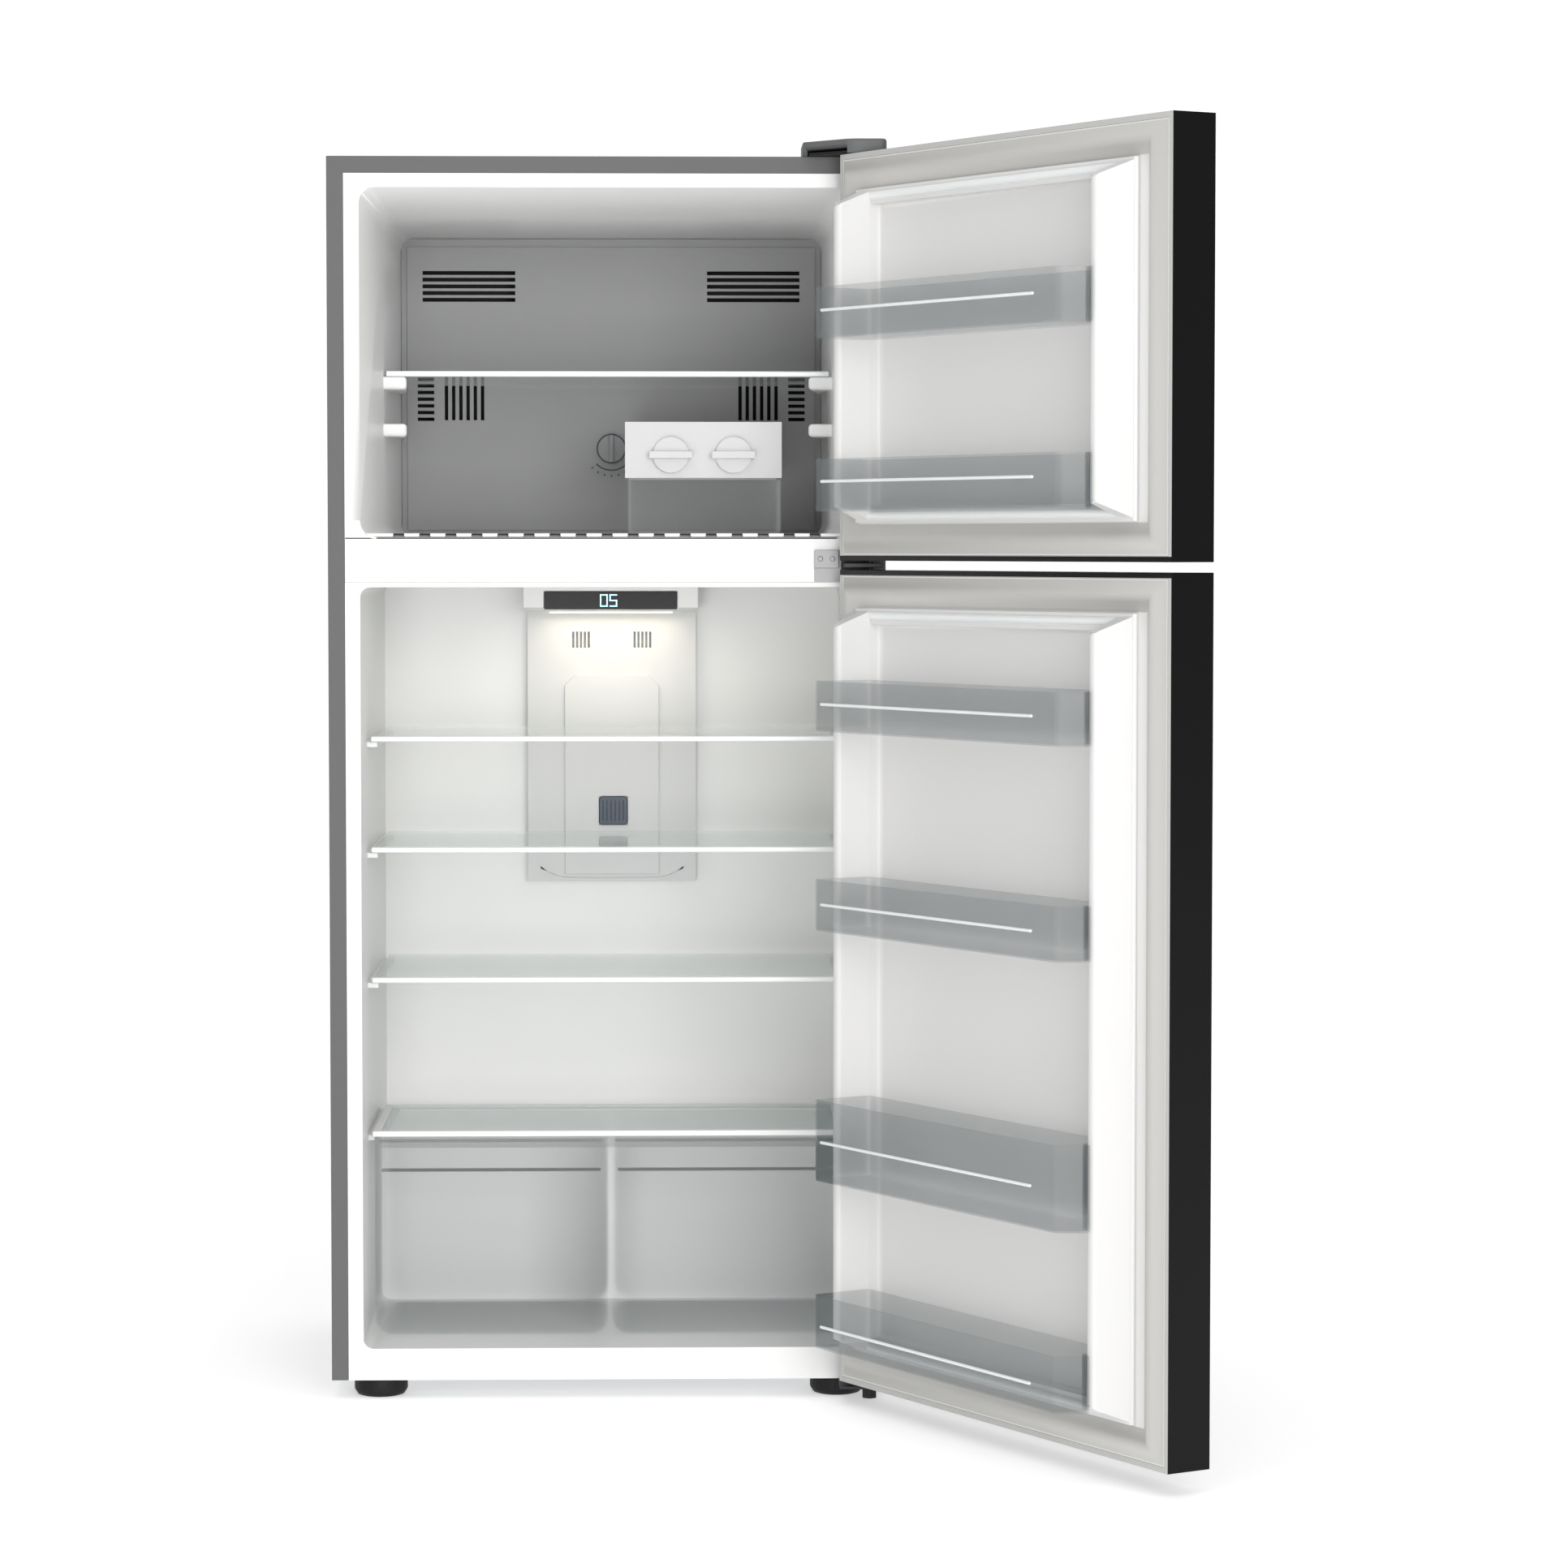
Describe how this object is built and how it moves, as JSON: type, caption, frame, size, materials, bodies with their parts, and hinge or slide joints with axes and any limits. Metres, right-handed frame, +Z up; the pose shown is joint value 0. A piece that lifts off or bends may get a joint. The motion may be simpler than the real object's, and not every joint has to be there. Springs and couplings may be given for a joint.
{
  "type": "top freezer refrigerator",
  "caption": "Tall two-door refrigerator with a freezer over the fresh food space, both doors open, with glass shelves, clear crispers and clear door bins.",
  "frame": {"origin": "on the floor, under the middle of the whole's box with both doors open", "axes": "+Z up, -Y out of the cabinet's front, +Y to the back, +X to the hinge side"},
  "size_m": [1.1604, 1.3874, 1.763],
  "materials": {
    "shell": "satin",
    "galvanised": "satin",
    "foam": "matte",
    "white": "satin",
    "black_plastic": "matte",
    "grey": "satin",
    "aluminium": "satin",
    "dark_steel": "satin",
    "glass": "polished",
    "clear": "gloss",
    "filter": "satin",
    "display": "gloss",
    "lamp": "satin",
    "hinge_cover": "matte",
    "door": "gloss",
    "door_liner": "satin",
    "gasket": "matte"
  },
  "bodies": {
    "cabinet": {"cabinet_shell": "shell", "back_panel": "galvanised", "base_plate": "galvanised", "cabinet_foam": "foam", "freezer_liner": "white", "fridge_liner": "white", "centre_mullion": "white", "freezer_floor_plate": "white", "freezer_rear_panel": "grey", "evaporator": "aluminium", "fan_motor": "dark_steel", "duct_panel": "white", "odour_filter": "filter", "display_housing": "white", "display_window": "display", "lamp_cover": "lamp", "ice_maker_frame": "white", "top_hinge": "dark_steel", "top_hinge_cover": "hinge_cover", "middle_hinge": "dark_steel", "bottom_hinge": "dark_steel", "compressor": "dark_steel", "drain_pan": "black_plastic", "machine_room_cover": "galvanised", "power_inlet": "black_plastic"},
    "upper_door": {"upper_door_shell": "door", "upper_door_liner": "door_liner", "upper_door_foam": "foam", "upper_door_gasket": "gasket"},
    "lower_door": {"lower_door_shell": "door", "lower_door_liner": "door_liner", "lower_door_foam": "foam", "lower_door_gasket": "gasket"},
    "upper_bin_1": {"upper_door_bin_1": "clear"},
    "upper_bin_2": {"upper_door_bin_2": "clear"},
    "lower_bin_1": {"lower_door_bin_1": "clear"},
    "lower_bin_2": {"lower_door_bin_2": "clear"},
    "lower_bin_3": {"lower_door_bin_3": "clear"},
    "lower_bin_4": {"lower_door_bin_4": "clear"},
    "freezer_shelf": {"freezer_shelf_glass": "glass", "freezer_shelf_trim": "white"},
    "upper_shelf": {"upper_shelf_glass": "glass", "upper_shelf_trim": "white"},
    "middle_shelf": {"middle_shelf_glass": "glass", "middle_shelf_trim": "white"},
    "lower_shelf": {"lower_shelf_glass": "glass", "lower_shelf_trim": "white"},
    "crisper_cover": {"crisper_cover_frame": "white", "crisper_cover_glass": "glass"},
    "left_crisper": {"crisper_left": "clear"},
    "right_crisper": {"crisper_right": "clear"},
    "ice_bin": {"ice_bin": "clear"},
    "left_ice_tray": {"ice_tray_left": "white"},
    "right_ice_tray": {"ice_tray_right": "white"},
    "airflow_dial": {"airflow_dial": "grey"},
    "fan": {"fan_rotor": "black_plastic"},
    "left_roller": {"rear_roller_left": "black_plastic"},
    "right_roller": {"rear_roller_right": "black_plastic"},
    "left_foot": {"levelling_foot_left": "black_plastic"},
    "right_foot": {"levelling_foot_right": "black_plastic"}
  },
  "joints": [
    {"name": "upper_door_hinge", "type": "hinge", "parent": "cabinet", "child": "upper_door", "pos_m": [0.17583, -0.02233, 1.461], "axis": [0, 0, 1], "range_deg": [-120, 35]},
    {"name": "lower_door_hinge", "type": "hinge", "parent": "cabinet", "child": "lower_door", "pos_m": [0.17583, -0.02233, 0.599], "axis": [0, 0, 1], "range_deg": [-120, 35]},
    {"name": "upper_bin_1_lift", "type": "slide", "parent": "upper_door", "child": "upper_bin_1", "axis": [0, 0, 1], "range_m": [0, 0.035]},
    {"name": "upper_bin_2_lift", "type": "slide", "parent": "upper_door", "child": "upper_bin_2", "axis": [0, 0, 1], "range_m": [0, 0.035]},
    {"name": "lower_bin_1_lift", "type": "slide", "parent": "lower_door", "child": "lower_bin_1", "axis": [0, 0, 1], "range_m": [0, 0.035]},
    {"name": "lower_bin_2_lift", "type": "slide", "parent": "lower_door", "child": "lower_bin_2", "axis": [0, 0, 1], "range_m": [0, 0.035]},
    {"name": "lower_bin_3_lift", "type": "slide", "parent": "lower_door", "child": "lower_bin_3", "axis": [0, 0, 1], "range_m": [0, 0.035]},
    {"name": "lower_bin_4_lift", "type": "slide", "parent": "lower_door", "child": "lower_bin_4", "axis": [0, 0, 1], "range_m": [0, 0.035]},
    {"name": "freezer_shelf_slide", "type": "slide", "parent": "cabinet", "child": "freezer_shelf", "axis": [0, -1, 0], "range_m": [0, 0.2]},
    {"name": "upper_shelf_slide", "type": "slide", "parent": "cabinet", "child": "upper_shelf", "axis": [0, -1, 0], "range_m": [0, 0.145]},
    {"name": "middle_shelf_slide", "type": "slide", "parent": "cabinet", "child": "middle_shelf", "axis": [0, -1, 0], "range_m": [0, 0.145]},
    {"name": "lower_shelf_slide", "type": "slide", "parent": "cabinet", "child": "lower_shelf", "axis": [0, -1, 0], "range_m": [0, 0.145]},
    {"name": "crisper_cover_slide", "type": "slide", "parent": "cabinet", "child": "crisper_cover", "axis": [0, -1, 0], "range_m": [0, 0.13]},
    {"name": "left_crisper_slide", "type": "slide", "parent": "cabinet", "child": "left_crisper", "axis": [0, -1, 0], "range_m": [0, 0.2]},
    {"name": "right_crisper_slide", "type": "slide", "parent": "cabinet", "child": "right_crisper", "axis": [0, -1, 0], "range_m": [0, 0.13]},
    {"name": "ice_bin_slide", "type": "slide", "parent": "cabinet", "child": "ice_bin", "axis": [0, -1, 0], "range_m": [0, 0.16]},
    {"name": "left_ice_tray_twist", "type": "hinge", "parent": "cabinet", "child": "left_ice_tray", "pos_m": [-0.10067, 0.21368, 1.3316], "axis": [0, 1, 0], "range_deg": [0, 45], "stiffness_Nm_per_rad": 0.4},
    {"name": "right_ice_tray_twist", "type": "hinge", "parent": "cabinet", "child": "right_ice_tray", "pos_m": [-0.01067, 0.21368, 1.3316], "axis": [0, 1, 0], "range_deg": [0, 45], "stiffness_Nm_per_rad": 0.4},
    {"name": "airflow_dial_turn", "type": "hinge", "parent": "cabinet", "child": "airflow_dial", "pos_m": [-0.19017, 0.57368, 1.348], "axis": [0, 1, 0], "range_deg": [-135, 135]},
    {"name": "fan_spin", "type": "hinge", "parent": "cabinet", "child": "fan", "pos_m": [-0.19017, 0.60167, 1.5], "axis": [0, 1, 0], "continuous": true},
    {"name": "left_roller_spin", "type": "hinge", "parent": "cabinet", "child": "left_roller", "pos_m": [-0.49017, 0.62367, 0.0125], "axis": [1, 0, 0], "continuous": true},
    {"name": "right_roller_spin", "type": "hinge", "parent": "cabinet", "child": "right_roller", "pos_m": [0.10983, 0.62367, 0.0125], "axis": [1, 0, 0], "continuous": true},
    {"name": "left_foot_turn", "type": "hinge", "parent": "cabinet", "child": "left_foot", "pos_m": [-0.51317, 0.06467, 0.012], "axis": [0, 0, 1], "range_deg": [-180, 180]},
    {"name": "right_foot_turn", "type": "hinge", "parent": "cabinet", "child": "right_foot", "pos_m": [0.13283, 0.06467, 0.012], "axis": [0, 0, 1], "range_deg": [-180, 180]}
  ]
}
